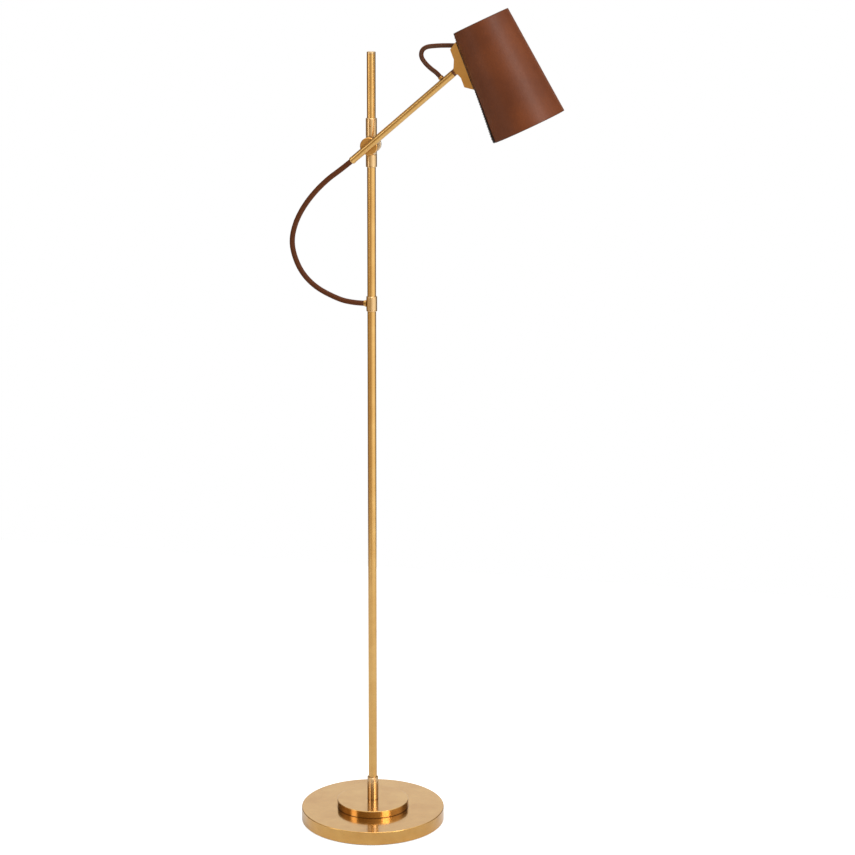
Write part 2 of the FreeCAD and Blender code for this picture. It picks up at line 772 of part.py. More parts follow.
def knuckle():
    """Ring, stem and tongue in one piece: the stem turns in the arm, the tongue tilts in the block."""
    body = doc.addObject("PartDesign::Body", "knuckle_body")
    ring = "ring_diameter/2"
    revolve(body, [
        ("0", "arm_tube_end - 6.2"),
        ("stem_diameter/2", "arm_tube_end - 6.2"),
        ("stem_diameter/2", "ring_start"),
        (f"{ring} - 0.3", "ring_start"),
        (ring, "ring_start + 0.3"),
        (ring, "ring_start + ring_thickness - 0.3"),
        (f"{ring} - 0.3", "ring_start + ring_thickness"),
        ("0", "ring_start + ring_thickness"),
    ])
    body.Placement = arm_frame
    start = value("ring_start + ring_thickness") - 0.5
    half, thickness = value("tongue_half_width"), value("tongue_thickness")
    length = "arm_reach - ring_start - ring_thickness + 0.5"
    tongue_place = inside(arm_frame, x=-half, y=-thickness / 2, z=start)
    tongue = block("tongue", "2*tongue_half_width", "tongue_thickness", length, tongue_place)
    reach = value("arm_reach")
    nose = cylinder("tongue_nose", "2*tongue_half_width", "tongue_thickness",
                    inside(arm_frame, y=-thickness / 2, z=reach, rotation=TO_REAR))
    hole_place = inside(arm_frame, y=-20, z=reach, rotation=TO_REAR)
    hole = cylinder("tongue_hole", "tilt_pin_diameter + 0.12", "40", hole_place)
    kept(cut("knuckle", fused("knuckle", [body, tongue, nose]), [hole]), "knuckle")
    tube("stem_nut", "9.4", "stem_diameter", "arm_tube_end - 5.6", "arm_tube_end - 1.5", arm_frame)


# ---------------------------------------------------------------- head

def hump_corners():
    """Corners of the block's outline round its hump: two flats tangent to a circle about the pin.
    Own X points away from the arm, so the arm's side has negative X."""
    slope = "hump_slope"
    foot = f"(hump_radius - block_face*cos({slope}))/sin({slope})"
    corners = [("-block_face", f"{foot}")]
    steps = 8
    for k in range(steps + 1):
        angle = f"({slope}*{1 - 2 * k / steps:g})"
        corners.append((f"-hump_radius*cos({angle})", f"hump_radius*sin({angle})"))
    corners.append(("-block_face", f"-{foot}"))
    return corners


def shade_block():
    """The brass block beside the shade: the tongue's slot, the pin's hole and the cord's hole."""
    body = doc.addObject("PartDesign::Body", "shade_block_body")
    corners = [
        ("block_base", "block_half_base"),
        ("-block_face", "block_half_face"),
    ] + hump_corners() + [
        ("-block_face", "-block_half_face + 1.6"),
        ("-block_face + 0.5", "-block_half_face + 0.4"),
        ("-block_face + 1.7", "-block_half_face - 0.3"),
        ("block_base", "-block_half_base"),
    ]
    pad = body.newObject("PartDesign::Pad", "pad")
    pad.Profile = (outline(body, "XZ_Plane", corners), [""])
    bind(pad, "Length", "block_thickness")
    pad.SideType = "Symmetric"
    body.Tip = pad
    body.Placement = side_frame
    slot = block("tongue_slot", "20", "slot_width", "25",
                 inside(side_frame, x=value("5.2 - 20"), y=-value("slot_width") / 2, z=-12.5))
    half = value("block_thickness") / 2
    front_wall = value("slot_width") / 2 + 3.3
    pin_hole = cylinder("pin_hole", "tilt_pin_diameter", f"{front_wall + half + 1}",
                        inside(side_frame, y=-front_wall, rotation=TO_REAR))
    pin_sink = cylinder("pin_sink", "8.4", "3", inside(side_frame, y=half - 2.6, rotation=TO_REAR))
    cord_hole = cylinder("cord_hole", "tip_cord_diameter + 0.3", "40",
                         place("cord_hole_start", "-arm_offset", "cord_hole_height", TO_RIGHT))
    screw_holes = [cylinder("block_screw_hole_%d" % k, "4", "8",
                            inside(side_frame, x=value("block_base") - 7, z=along, rotation=TO_RIGHT))
                   for k, along in enumerate(BLOCK_SCREW_STATIONS)]
    kept(cut("shade_block", body, [slot, pin_hole, pin_sink, cord_hole] + screw_holes), "shade_block")
    pin = doc.addObject("PartDesign::Body", "tilt_pin_body")
    revolve(pin, [
        ("0", f"{-front_wall + 0.1}"),
        ("tilt_pin_diameter/2 - 0.3", f"{-front_wall + 0.1}"),
        ("tilt_pin_diameter/2 - 0.01", f"{-front_wall + 0.4}"),
        ("tilt_pin_diameter/2 - 0.01", f"{half - 2.5}"),
        ("4.1", f"{half - 2.49}"),
        ("4.1", f"{half - 0.3}"),
        ("3.8", f"{half}"),
        ("0", f"{half}"),
    ])
    pin.Placement = inside(side_frame, rotation=TO_REAR)
    slot_cut = block("driver_slot", "10", "1", "1.4", inside(side_frame, x=-5, y=half - 1.1, z=-0.7))
    kept(cut("tilt_pin", pin, [slot_cut]), "tilt_pin")
    spacers = []
    screws = []
    wall = value("leather_thickness + liner_thickness") + 0.3
    for k, along in enumerate(BLOCK_SCREW_STATIONS):
        ring = cylinder("spacer_%d" % k, "9", "spacer_thickness - 0.1",
                        inside(side_frame, x=value("block_base"), z=along, rotation=TO_RIGHT))
        hole = cylinder("spacer_hole_%d" % k, "4.2", "10",
                        inside(side_frame, x=value("block_base") - 4, z=along, rotation=TO_RIGHT))
        spacers.append(cut("spacer_%d" % k, ring, [hole]))
        shank_length = 6.5 + value("spacer_thickness") + wall
        shank = cylinder("screw_shank_%d" % k, "3.96", f"{shank_length}",
                         inside(side_frame, x=value("block_base") - 6.5, z=along, rotation=TO_RIGHT))
        head = cylinder("screw_head_%d" % k, "7.4", "2.4",
                        inside(side_frame, x=value("block_base + spacer_thickness") + wall, z=along,
                               rotation=TO_RIGHT))
        screws.append(fused("block_screw_%d" % k, [shank, head]))
    group("block_spacers", spacers)
    group("block_screws", screws)


def cone_sleeve(name, inset, thickness, end_gap):
    """A tapered sleeve inside the shade's outer surface, on the shade's own axis, top at zero."""
    body = doc.addObject("PartDesign::Body", name)

    def radius(depth, extra):
        return f"shade_top_diameter/2 + ({depth})*tan(shade_taper) - ({inset}) - ({extra})"

    top, bottom = end_gap, f"shade_length - {end_gap}"
    revolve(body, [
        (radius(bottom, thickness), f"-({bottom})"),
        (radius(bottom, "0"), f"-({bottom})"),
        (radius(top, "0"), f"-{top}"),
        (radius(top, thickness), f"-{top}"),
    ])
    body.Placement = shade_frame
    return body


def shade():
    def wall_tools(tag):
        """Holes through the shade's wall for the block's two screws and the lead's bush."""
        start = value("block_base")
        tools = [cylinder("%s_screw_hole_%d" % (tag, k), "4.2", "12",
                          inside(side_frame, x=start, z=along, rotation=TO_RIGHT))
                 for k, along in enumerate(BLOCK_SCREW_STATIONS)]
        lead = place("shade_hole_start", "-arm_offset", "cord_hole_height", TO_RIGHT)
        tools.append(cylinder(tag + "_lead_hole", "lead_hole_diameter", "20", lead))
        return tools

    leather = cone_sleeve("leather_body", "0", "leather_thickness", "0")
    kept(cut("shade_leather", leather, wall_tools("leather")), "shade_leather")
    liner = cone_sleeve("liner_body", "leather_thickness + 0.1", "liner_thickness", "0.8")
    kept(cut("shade_liner", liner, wall_tools("liner")), "shade_liner")
    rim_radius = "shade_top_diameter/2 + (lid_depth + lid_thickness)*tan(shade_taper)"
    inset = "leather_thickness + liner_thickness + 0.2"
    lid = doc.addObject("PartDesign::Body", "lid_body")
    revolve(lid, [
        ("5.1", "-lid_depth - lid_thickness"),
        (f"{rim_radius} - ({inset})", "-lid_depth - lid_thickness"),
        (f"{rim_radius} - ({inset}) - lid_thickness*tan(shade_taper)", "-lid_depth"),
        ("5.1", "-lid_depth"),
    ])
    for k in range(8):
        x, y = (f"vent_ring_radius*{axis}({22.5 + 45 * k})" for axis in ("cos", "sin"))
        cut_hole(lid, "XY_Plane", x, y, "vent_diameter", "20", False, "vent_%d" % k)
    kept(lid, "shade_lid", shade_frame)


def bulb_side(inset):
    """Half the bulb's outline, from its lowest point up to the neck, moved inwards by an inset."""
    radius = f"(bulb_diameter/2 - {inset})"
    steps = 9
    side = [(f"{radius}*sin({angle:g})", f"-bulb_centre_depth - {radius}*cos({angle:g})")
            for angle in [k * 125 / steps for k in range(steps + 1)]]
    neck = [("17.5", "-100"), ("14.2", "-88"), ("13.2", "-80"), ("13", "-72.01")]
    return side + [(f"{reach} - {inset}", height) for reach, height in neck]


def lamp_holder():
    """Everything on the shade's axis under the lid: nipple, nuts, holder and bulb."""
    tube("holder_nipple", "nipple_diameter", "nipple_bore", "-20", "-1.5", shade_frame)
    hexagon("holder_top_nut", "15", "nipple_diameter", "-lid_depth", "-lid_depth + 3.6", shade_frame)
    hexagon("holder_lock_nut", "15", "nipple_diameter", "-lid_depth - lid_thickness - 3.2",
            "-lid_depth - lid_thickness", shade_frame)
    cap = doc.addObject("PartDesign::Body", "holder_cap_body")
    revolve(cap, [
        ("nipple_diameter/2", "-15.5"),
        ("nipple_diameter/2", "-12"),
        ("9", "-12"),
        ("15", "-14.5"),
        ("18", "-19"),
        ("18.6", "-25"),
        ("18.6", "-34"),
        ("17.4", "-34"),
        ("17.4", "-25"),
        ("16.6", "-19.6"),
        ("14", "-16"),
        ("9", "-14"),
        ("9", "-15.5"),
    ])
    cap.Placement = shade_frame
    key_hole = cylinder("switch_key_hole", "4.12", "10", inside(shade_frame, x=12, z=-28, rotation=TO_RIGHT))
    lead_hole = cylinder("cap_lead_hole", "5.4", "10", inside(shade_frame, x=-12, z=-24, rotation=TO_LEFT))
    kept(cut("holder_cap", cap, [key_hole, lead_hole]), "holder_cap")
    turned("holder_shell", [
        ("15.4", "-70"),
        ("17", "-70"),
        ("17", "-36"),
        ("18.6", "-36"),
        ("18.6", "-34.01"),
        ("15.4", "-34.01"),
    ], shade_frame)
    tube("holder_insulator", "30.6", "4", "-42", "-36", shade_frame)
    rod("holder_contact", "3.9", "-45", "-35", shade_frame)
    turned("bulb_base", [
        ("0", "-45"),
        ("5", "-45"),
        ("8", "-47"),
        ("13", "-50"),
        ("13", "-72"),
        ("0", "-72"),
    ], shade_frame)
    turned("bulb_glass", bulb_side("0") + bulb_side("glass_thickness")[::-1], shade_frame)


def switch_key():
    """The holder's turn key: a thin stem through the cap's side and a flat wing."""
    frame = inside(shade_frame, z=-28, rotation=TO_RIGHT)
    stem = cylinder("key_stem", "4", "14", inside(frame, z=15))
    wing = block("key_wing", "12", "3.4", "10", inside(frame, x=-6, y=-1.7, z=28))
    collar = cylinder("key_collar", "7", "2", inside(frame, z=27))
    kept(fused("switch_key", [stem, wing, collar]), "switch_key")


# ---------------------------------------------------------------- leads

def leads():
    cord("loop_cord", LOOP_ROUTE, "loop_cord_diameter")
    cord("tip_cord", TIP_ROUTE, "tip_cord_diameter")
    # inside the base and the pole: in from the back, up through the nipple to below the collar
    rise = value("inlet_height")
    top = value("cord_exit_height") - 8
    cord("pole_lead", [(0, 112, rise), (0, 0, rise), (0, 0, top)], "pole_lead_diameter", bend=6)
    # inside the shade: from the bush in the wall to the holder's cap
    bush_place = place("lead_bush_start", "-arm_offset", "cord_hole_height", TO_RIGHT)
    bush_start = bush_place.Base
    turned("lead_bush", [
        ("head_lead_diameter/2 + 0.1", "0"),
        ("lead_hole_diameter/2 - 0.1", "0"),
        ("lead_hole_diameter/2 - 0.1", "lead_bush_length"),
        ("head_lead_diameter/2 + 0.1", "lead_bush_length"),
    ], bush_place)
    cap_point = shade_frame.multVec(Vector(-16.2, 0, -24))
    cap_side = shade_frame.multVec(Vector(-27, 0, -24))
    lead_start = bush_start + Vector(0.2, 0, 0)
    lead_turn = bush_start + Vector(16, 0, 0)
    route = [tuple(point) for point in (lead_start, lead_turn, cap_side, cap_point)]
    cord("head_lead", route, "head_lead_diameter")


def write_parts():
    """Checks every object and every sub-part, then writes one STEP file for each sub-part."""
    doc.recompute()
    broken = [thing.Name for thing in doc.Objects if {"Invalid", "Error"} & set(thing.State)]
    assert not broken, broken
    for thing in sub_parts:
        assert not thing.Shape.isNull() and thing.Shape.isValid(), thing.Label
        assert thing.Shape.Solids, thing.Label
    labels = [thing.Label for thing in sub_parts]
    assert len(labels) == len(set(labels)), labels
    os.makedirs("parts", exist_ok=True)
    for thing in sub_parts:
        thing.Shape.exportStep(os.path.join("parts", thing.Label + ".step"))
    print(len(sub_parts), "sub-parts written")


for build in (felt_pad, base_weight, base_shell, step_disc, socket_ring, base_fixings, cord_inlet, pole,
              cord_collar, carrier, hub, hub_disc, arm, knuckle, shade_block, shade, lamp_holder,
              switch_key, leads):
    build()
write_parts()
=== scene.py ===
import json
from math import atan2, cos, pi, radians, sin, sqrt

import bpy
from mathutils import Matrix, Vector, noise


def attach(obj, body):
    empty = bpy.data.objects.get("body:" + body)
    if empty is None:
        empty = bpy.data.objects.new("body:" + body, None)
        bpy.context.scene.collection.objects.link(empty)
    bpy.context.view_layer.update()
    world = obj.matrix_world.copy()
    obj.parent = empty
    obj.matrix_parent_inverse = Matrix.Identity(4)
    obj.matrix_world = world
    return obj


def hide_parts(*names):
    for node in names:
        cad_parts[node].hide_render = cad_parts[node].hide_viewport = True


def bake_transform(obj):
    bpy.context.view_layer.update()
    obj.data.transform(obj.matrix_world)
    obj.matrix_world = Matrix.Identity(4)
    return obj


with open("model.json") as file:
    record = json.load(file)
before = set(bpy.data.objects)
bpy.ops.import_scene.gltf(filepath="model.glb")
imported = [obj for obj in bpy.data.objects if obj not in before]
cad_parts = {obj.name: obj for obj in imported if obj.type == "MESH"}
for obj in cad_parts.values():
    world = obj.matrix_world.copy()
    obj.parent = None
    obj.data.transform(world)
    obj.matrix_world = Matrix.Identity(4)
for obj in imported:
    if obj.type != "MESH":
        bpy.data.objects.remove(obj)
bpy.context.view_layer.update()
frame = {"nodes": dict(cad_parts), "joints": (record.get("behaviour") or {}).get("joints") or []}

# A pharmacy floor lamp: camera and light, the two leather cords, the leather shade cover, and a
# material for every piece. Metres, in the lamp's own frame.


# ---------------------------------------------------------------- camera

CAMERA_AZIMUTH = radians(13.0)
CAMERA_PITCH = radians(13.851)
CAMERA_ROLL = radians(0.167)
CAMERA_PLACE = (1.0779, -4.2434, 1.8008)
CAMERA_LENS = 109.97


def make_camera():
    data = bpy.data.cameras.new("camera")
    data.lens = CAMERA_LENS
    data.sensor_width = 36.0
    data.clip_end = 100.0
    camera = bpy.data.objects.new("camera", data)
    turn = (
        Matrix.Rotation(CAMERA_AZIMUTH, 4, "Z")
        @ Matrix.Rotation(pi / 2 - CAMERA_PITCH, 4, "X")
        @ Matrix.Rotation(CAMERA_ROLL, 4, "Z")
    )
    camera.matrix_world = Matrix.Translation(CAMERA_PLACE) @ turn
    bpy.context.collection.objects.link(camera)
    bpy.context.scene.camera = camera


make_camera()


# ---------------------------------------------------------------- node helpers

def add(tree, kind, inputs=(), **settings):
    """A new node with its settings. Each input is a value or another node's output."""
    made = tree.nodes.new(kind)
    for name, setting in settings.items():
        setattr(made, name, setting)
    for name, source in dict(inputs).items():
        if isinstance(source, bpy.types.NodeSocket):
            tree.links.new(source, made.inputs[name])
        else:
            made.inputs[name].default_value = source
    return made


def math(tree, operation, first, second=0.0):
    return add(tree, "ShaderNodeMath", {0: first, 1: second}, operation=operation).outputs[0]


def vector_math(tree, operation, first, second=(0.0, 0.0, 0.0), scale=1.0):
    made = add(tree, "ShaderNodeVectorMath", {0: first, 1: second}, operation=operation)
    if operation != "SCALE":
        return made.outputs["Value" if operation in ("DOT_PRODUCT", "LENGTH") else "Vector"]
    if isinstance(scale, bpy.types.NodeSocket):
        tree.links.new(scale, made.inputs["Scale"])
    else:
        made.inputs["Scale"].default_value = scale
    return made.outputs["Vector"]


def remap(tree, source, low, high, to_low, to_high):
    made = add(
        tree, "ShaderNodeMapRange",
        {"Value": source, "From Min": low, "From Max": high, "To Min": to_low, "To Max": to_high},
    )
    return made.outputs["Result"]


def ramp(tree, factor, stops):
    """A colour that runs through the stops, each a position and a colour."""
    made = add(tree, "ShaderNodeValToRGB", {"Fac": factor})
    elements = made.color_ramp.elements
    while len(elements) < len(stops):
        elements.new(0.5)
    for element, (position, colour) in zip(elements, stops):
        element.position = position
        element.color = (*colour, 1.0)
    return made.outputs["Color"]


def mixed(tree, factor, first, second, blend="MIX"):
    made = add(tree, "ShaderNodeMix", data_type="RGBA", blend_type=blend)
    for index, source in ((0, factor), (6, first), (7, second)):
        if isinstance(source, bpy.types.NodeSocket):
            tree.links.new(source, made.inputs[index])
        elif index == 0:
            made.inputs[index].default_value = source
        else:
            made.inputs[index].default_value = (*source, 1.0)
    return made.outputs[2]


def place_of(tree):
    """The place of a surface point in the lamp's own frame."""
    return add(tree, "ShaderNodeTexCoord").outputs["Object"]


def grain(tree, inputs, scale, detail=3.0, roughness=0.5, dimensions="3D"):
    every = {"Scale": scale, "Detail": detail, "Roughness": roughness, **inputs}
    return add(tree, "ShaderNodeTexNoise", every, noise_dimensions=dimensions).outputs["Fac"]


def raised(tree, height, distance, strength=1.0):
    inputs = {"Height": height, "Distance": distance, "Strength": strength}
    return add(tree, "ShaderNodeBump", inputs).outputs["Normal"]


def new_material(name):
    """A material with its tree and its principled shader."""
    material = bpy.data.materials.new(name)
    material.use_nodes = True
    tree = material.node_tree
    return material, tree, tree.nodes["Principled BSDF"]


def drive(tree, shader, **sources):
    """Sets the shader's sockets: a keyword's underscores stand for the spaces in its name."""
    for name, source in sources.items():
        socket = shader.inputs[name.replace("_", " ")]
        if isinstance(source, bpy.types.NodeSocket):
            tree.links.new(source, socket)
        elif isinstance(source, tuple):
            socket.default_value = (*source, 1.0)
        else:
            socket.default_value = source


# ---------------------------------------------------------------- studio

def make_world():
    """Soft light from all round: bright on the right, warm and dim on the left, dark behind each
    shoulder and above the camera, with a white wall behind the lamp and a pale floor below."""
    world = bpy.data.worlds.new("studio")
    bpy.context.scene.world = world
    world.use_nodes = True
    tree = world.node_tree
    back = tree.nodes["Background"]
    towards = (sin(CAMERA_AZIMUTH), -cos(CAMERA_AZIMUTH), 0.0)
    rightwards = (cos(CAMERA_AZIMUTH), sin(CAMERA_AZIMUTH), 0.0)
    ray = add(tree, "ShaderNodeTexCoord").outputs["Generated"]
    ahead = vector_math(tree, "DOT_PRODUCT", ray, towards)
    aside = vector_math(tree, "DOT_PRODUCT", ray, rightwards)
    bearing = math(tree, "DIVIDE", math(tree, "ARCTAN2", aside, ahead), 2 * pi)
    bearing = math(tree, "ADD", bearing, 0.5)
    wall = [
        (-180, (0.86, 0.84, 0.80)), (-162, (0.70, 0.68, 0.64)), (-150, (0.08, 0.06, 0.04)),
        (-124, (0.14, 0.10, 0.06)), (-96, (0.42, 0.32, 0.20)), (-60, (0.50, 0.40, 0.27)),
        (-32, (0.48, 0.38, 0.25)), (-12, (0.62, 0.53, 0.40)), (8, (0.92, 0.86, 0.76)),
        (30, (1.12, 1.08, 1.00)), (62, (1.12, 1.09, 1.03)), (92, (0.80, 0.77, 0.72)),
        (116, (0.20, 0.16, 0.12)), (150, (0.08, 0.06, 0.05)), (162, (0.70, 0.68, 0.64)),
        (180, (0.86, 0.84, 0.80)),
    ]
    around = ramp(tree, bearing, [(angle / 360 + 0.5, colour) for angle, colour in wall])
    height = add(tree, "ShaderNodeSeparateXYZ", {0: ray}).outputs["Z"]
    front = remap(tree, ahead, -0.2, 0.5, 0.0, 0.55)
    above = remap(tree, height, -0.10, 0.18, 0.0, 1.0)
    shade = math(tree, "SUBTRACT", 1.0, math(tree, "MULTIPLY", front, above))
    around = vector_math(tree, "SCALE", around, scale=shade)
    seen = mixed(tree, remap(tree, height, 0.50, 0.85, 0.0, 1.0), around, (1.25, 1.22, 1.17))
    seen = mixed(tree, remap(tree, height, -0.38, -0.54, 0.0, 1.0), seen, (0.86, 0.83, 0.78))
    path = add(tree, "ShaderNodeLightPath").outputs
    seen = mixed(tree, path["Is Camera Ray"], seen, (1.0, 1.0, 1.0))
    tree.links.new(seen, back.inputs["Color"])
    soft = remap(tree, path["Is Diffuse Ray"], 0, 1, 1.0, 0.55)
    tree.links.new(soft, back.inputs["Strength"])


def make_floor():
    """A white square that looks plain to the camera and gives only a little light of its own."""
    half = 1.5
    mesh = bpy.data.meshes.new("floor")
    corners = [(-half, -half, 0), (half, -half, 0), (half, half, 0), (-half, half, 0)]
    mesh.from_pydata(corners, [], [(0, 1, 2, 3)])
    floor = bpy.data.objects.new("floor", mesh)
    bpy.context.collection.objects.link(floor)
    material, tree, shader = new_material("floor_white")
    camera_ray = add(tree, "ShaderNodeLightPath").outputs["Is Camera Ray"]
    drive(
        tree, shader, Base_Color=(0.86, 0.86, 0.86), Roughness=0.9, Specular_IOR_Level=0.0,
        Emission_Color=(1.0, 1.0, 1.0), Emission_Strength=remap(tree, camera_ray, 0, 1, 0.09, 0.80),
    )
    mesh.materials.append(material)


def make_softbox(name, bearing, height, reach, size, power, aim):
    """A square soft light that many degrees to the camera's right, facing its aim."""
    data = bpy.data.lights.new(name, "AREA")
    data.shape = "RECTANGLE"
    data.size, data.size_y = size
    data.energy = power
    light = bpy.data.objects.new(name, data)
    turn = CAMERA_AZIMUTH + radians(bearing)
    light.location = (sin(turn) * reach, -cos(turn) * reach, height)
    facing = Vector(aim) - light.location
    light.rotation_euler = facing.to_track_quat("-Z", "Y").to_euler()
    bpy.context.collection.objects.link(light)


bpy.context.scene.view_settings.view_transform = "Standard"
bpy.context.scene.view_settings.look = "None"
make_world()
make_floor()
make_softbox("key_light", bearing=44, height=2.25, reach=3.2, size=(1.5, 1.9), power=44,
             aim=(0.2, 0.0, 1.2))
make_softbox("fill_light", bearing=-62, height=1.7, reach=3.4, size=(1.2, 2.2), power=13,
             aim=(0.1, 0.0, 1.1))
make_softbox("top_light", bearing=20, height=4.2, reach=1.0, size=(1.8, 1.8), power=22,
             aim=(0.1, 0.0, 0.7))


# ---------------------------------------------------------------- materials

def straight_lay(axis, along=14.0, across=2600.0):
    """Brushing along an axis: the noise is drawn out along it."""

    def inputs(tree):
        place = place_of(tree)
        share = vector_math(tree, "DOT_PRODUCT", place, tuple(axis))
        stretch = math(tree, "MULTIPLY", share, along - across)
        drawn = vector_math(tree, "SCALE", tuple(axis), scale=stretch)
        fine = vector_math(tree, "SCALE", place, scale=across)
        return {"Vector": vector_math(tree, "ADD", fine, drawn)}, "3D"

    return inputs


def round_lay(centre, axis, along=5.0, across=2600.0):
    """Turning marks round an axis: the noise runs with the radius and hardly with the angle."""

    def inputs(tree):
        place = vector_math(tree, "SUBTRACT", place_of(tree), tuple(centre))
        rise = vector_math(tree, "DOT_PRODUCT", place, tuple(axis))
        lift = vector_math(tree, "SCALE", tuple(axis), scale=rise)
        flat = vector_math(tree, "SUBTRACT", place, lift)
        radius = vector_math(tree, "LENGTH", flat)
        depth = math(tree, "MULTIPLY", math(tree, "ADD", radius, rise), across)
        heading = vector_math(tree, "NORMALIZE", flat)
        return {"Vector": vector_math(tree, "SCALE", heading, scale=along), "W": depth}, "4D"

    return inputs


def brass(name, lay, colour=(0.84, 0.52, 0.165), roughness=0.19, coat=0.6, join_shade=0.75, mottle=0.14):
    """Aged brass under lacquer: brushing, cloudy patina, tarnish specks, and painted shade that darkens
    the colour in joins and crevices.
    """
    material, tree, shader = new_material(name)
    place = place_of(tree)
    lay_inputs, dimensions = lay(tree)
    marks = grain(tree, lay_inputs, 1.0, 5.0, 0.72, dimensions)
    clouds = grain(tree, {"Vector": place}, 24.0, 5.0, 0.62)
    specks = grain(tree, {"Vector": place}, 620.0, 2.0, 0.5)
    aged = tuple(part * share for part, share in zip(colour, (0.80, 0.68, 0.50)))
    bright = tuple(min(1.0, part * share) for part, share in zip(colour, (1.07, 1.12, 1.30)))
    patina = remap(tree, clouds, 0.32, 0.72, 0.5 - mottle * 2, 0.5 + mottle * 2)
    tone = mixed(tree, patina, bright, aged)
    streak = remap(tree, marks, 0.3, 0.7, 0.95, 1.04)
    tone = mixed(tree, 1.0, tone, add(tree, "ShaderNodeCombineColor", {
        0: streak, 1: streak, 2: streak}).outputs[0], "MULTIPLY")
    tarnish = remap(tree, specks, 0.72, 0.80, 0.0, 0.22)
    tone = mixed(tree, tarnish, tone, (0.30, 0.14, 0.035))
    # painted shade: where occlusion within 4 mm finds nearby surfaces, the colour is darkened towards
    # dark brown
    crevice_occlusion = add(tree, "ShaderNodeAmbientOcclusion", {"Distance": 0.004}, samples=12).outputs["AO"]
    painted_join_shade = remap(tree, crevice_occlusion, 0.25, 0.85, join_shade, 0.0)
    tone = mixed(tree, painted_join_shade, tone, (0.16, 0.07, 0.018))
    gloss = math(tree, "ADD", remap(tree, marks, 0.3, 0.7, -0.015, 0.02), roughness)
    gloss = math(tree, "ADD", gloss, remap(tree, clouds, 0.3, 0.7, -0.02, 0.05))
    drive(
        tree, shader, Base_Color=tone, Metallic=1.0, Roughness=gloss, Coat_Weight=coat,
        Coat_Roughness=0.07, Coat_IOR=1.5, Normal=raised(tree, marks, 0.0000015, 0.20),
    )
    return material


def leather(name, colour, roughness, pore, depth, shine):
    """Waxed hide: pores in a fine net, creases, uneven dye and a soft shine."""
    material, tree, shader = new_material(name)
    place = place_of(tree)
    wander = grain(tree, {"Vector": place}, 160.0, 2.0, 0.5)
    shifted = vector_math(tree, "ADD", place, vector_math(
        tree, "SCALE", add(tree, "ShaderNodeCombineXYZ", {0: wander, 1: wander, 2: wander}
                           ).outputs[0], scale=0.0016))
    cells = add(
        tree, "ShaderNodeTexVoronoi", {"Vector": shifted, "Scale": pore, "Randomness": 1.0},
        feature="DISTANCE_TO_EDGE",
    ).outputs["Distance"]
    net = remap(tree, cells, 0.0, 0.16, 0.0, 1.0)
    fine = grain(tree, {"Vector": place}, pore * 2.6, 3.0, 0.6)
    dye = grain(tree, {"Vector": place}, 17.0, 5.0, 0.6)
    small_dye = grain(tree, {"Vector": place}, 260.0, 3.0, 0.6)
    dark = tuple(part * share for part, share in zip(colour, (0.66, 0.60, 0.62)))
    light = tuple(part * share for part, share in zip(colour, (1.22, 1.20, 1.15)))
    tone = mixed(tree, remap(tree, dye, 0.3, 0.7, 0.15, 0.85), dark, light)
    tone = mixed(tree, remap(tree, small_dye, 0.35, 0.75, 0.0, 0.30), tone, dark)
    tone = mixed(tree, remap(tree, net, 0.0, 1.0, 0.42, 0.0), tone, dark)
    gloss = math(tree, "ADD", remap(tree, net, 0.0, 1.0, 0.14, 0.0), roughness)
    gloss = math(tree, "ADD", gloss, remap(tree, small_dye, 0.3, 0.7, -0.03, 0.05))
    skin = math(tree, "ADD", math(tree, "MULTIPLY", fine, 0.35), net)
    drive(
        tree, shader, Base_Color=tone, Roughness=gloss, Specular_IOR_Level=shine,
        Coat_Weight=shine * 0.12, Coat_Roughness=0.30,
        Normal=raised(tree, skin, depth, 0.30),
    )
    return material


def plain(name, colour, roughness, metallic=0.0, scale=420.0, variation=0.12, depth=0.00004,
          **more):
    """A made finish: slight unevenness of colour and gloss, and a fine surface texture."""
    material, tree, shader = new_material(name)
    place = place_of(tree)
    body = grain(tree, {"Vector": place}, scale * 0.12, 4.0, 0.6)
    fine = grain(tree, {"Vector": place}, scale, 4.0, 0.6)
    low = tuple(part * (1 - variation) for part in colour)
    high = tuple(min(1.0, part * (1 + variation)) for part in colour)
    tone = mixed(tree, remap(tree, body, 0.3, 0.7, 0.0, 1.0), low, high)
    gloss = math(tree, "ADD", remap(tree, fine, 0.3, 0.7, -0.05, 0.05), roughness)
    drive(
        tree, shader, Base_Color=tone, Roughness=gloss, Metallic=metallic,
        Normal=raised(tree, fine, depth, 0.5), **more,
    )
    return material


def felt():
    material, tree, shader = new_material("wool_felt")
    place = place_of(tree)
    fibres = grain(tree, {"Vector": place}, 2400.0, 6.0, 0.75)
    tufts = grain(tree, {"Vector": place}, 300.0, 4.0, 0.6)
    tone = mixed(tree, remap(tree, fibres, 0.3, 0.7, 0.0, 1.0), (0.010, 0.009, 0.008),
                 (0.045, 0.040, 0.034))
    drive(
        tree, shader, Base_Color=tone, Roughness=0.95, Sheen_Weight=0.5, Sheen_Roughness=0.5,
        Normal=raised(tree, math(tree, "ADD", fibres, tufts), 0.0004, 0.8),
    )
    return material


def frosted_glass():
    material, tree, shader = new_material("frosted_glass")
    etch = grain(tree, {"Vector": place_of(tree)}, 1800.0, 3.0, 0.6)
    drive(
        tree, shader, Base_Color=(0.93, 0.93, 0.91), Roughness=remap(tree, etch, 0.3, 0.7, 0.34, 0.5),
        Transmission_Weight=0.55, IOR=1.5, Normal=raised(tree, etch, 0.00003, 0.4),
    )
    return material


X, Y, Z = Vector((1, 0, 0)), Vector((0, 1, 0)), Vector((0, 0, 1))
joints = {joint["name"]: joint for joint in frame["joints"]}
arm_axis = Vector(joints["head_swivel"]["axis"]).normalized()
tilt_point = Vector(joints["head_tilt"]["pos_m"])
hub_point = Vector(joints["arm_tilt"]["pos_m"])
shade_across = Vector(joints["switch_turn"]["axis"]).normalized()
shade_axis = shade_across.cross(Y).normalized()


# ---------------------------------------------------------------- cords

